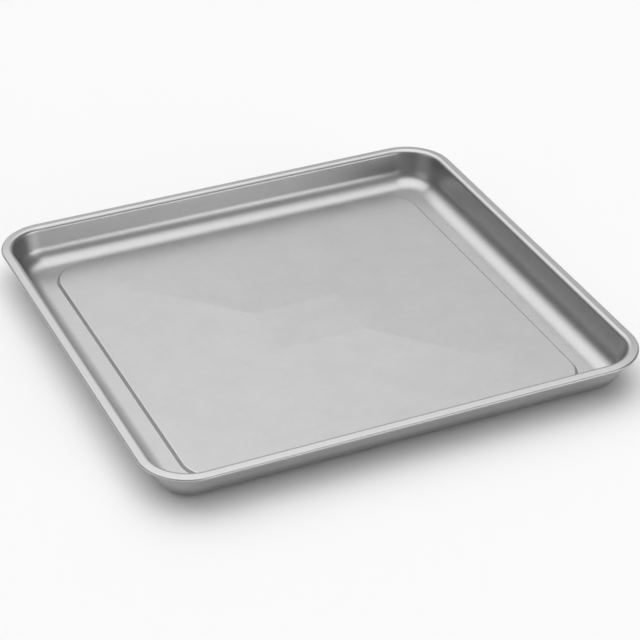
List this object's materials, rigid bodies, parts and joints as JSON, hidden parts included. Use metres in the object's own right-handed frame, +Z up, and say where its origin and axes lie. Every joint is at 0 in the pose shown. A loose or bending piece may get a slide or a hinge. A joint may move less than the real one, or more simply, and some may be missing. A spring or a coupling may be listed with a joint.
{
  "type": "cookie sheet",
  "caption": "Shallow near-square pressed steel baking tray with rounded corners, sloping walls, a raised centre panel and a flat rim rolled round a wire.",
  "frame": {"origin": "middle of the plane that the tray rests on, below the centre of its outline", "axes": "+X to the right along the tray's slightly longer side, +Y to the back, +Z up out of the tray's mouth"},
  "size_m": [0.305, 0.2932, 0.0228],
  "materials": {
    "coated_steel": "satin silver-grey bakeware coating over sheet steel",
    "steel_wire": "plain drawn steel wire, hidden inside the rolled rim"
  },
  "bodies": {
    "root": {"pan_body": "coated_steel", "rim_wire": "steel_wire"}
  },
  "joints": []
}
